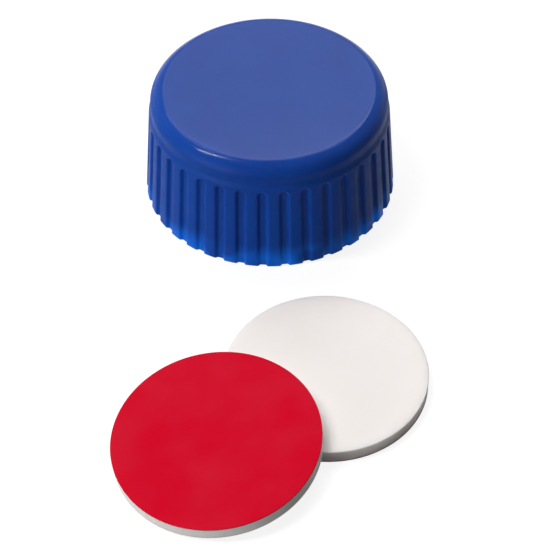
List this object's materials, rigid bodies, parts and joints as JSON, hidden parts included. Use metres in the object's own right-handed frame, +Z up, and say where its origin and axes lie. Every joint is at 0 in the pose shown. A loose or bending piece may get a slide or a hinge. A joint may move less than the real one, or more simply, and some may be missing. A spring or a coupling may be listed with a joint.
{
  "type": "septum screw cap",
  "caption": "Closed-top ribbed screw cap for a short-thread vial, standing on its rim, with its two-layer septum liner shown beside it from both faces.",
  "frame": {"origin": "centre of the cap's open mouth, on the surface that the cap stands on", "axes": "+Z up along the cap's axis, +Y away from the two liners, which lie on the -Y side"},
  "size_m": [0.0137, 0.0275, 0.0058],
  "materials": {
    "cap_plastic": "semi-gloss moulded blue polypropylene, slightly translucent",
    "white_silicone": "smooth off-white silicone rubber, satin",
    "red_film": "satin red film"
  },
  "bodies": {
    "root": {"screw_cap": "cap_plastic", "back_septum_film": "red_film", "back_septum_silicone": "white_silicone", "front_septum_silicone": "white_silicone", "front_septum_film": "red_film"}
  },
  "joints": []
}
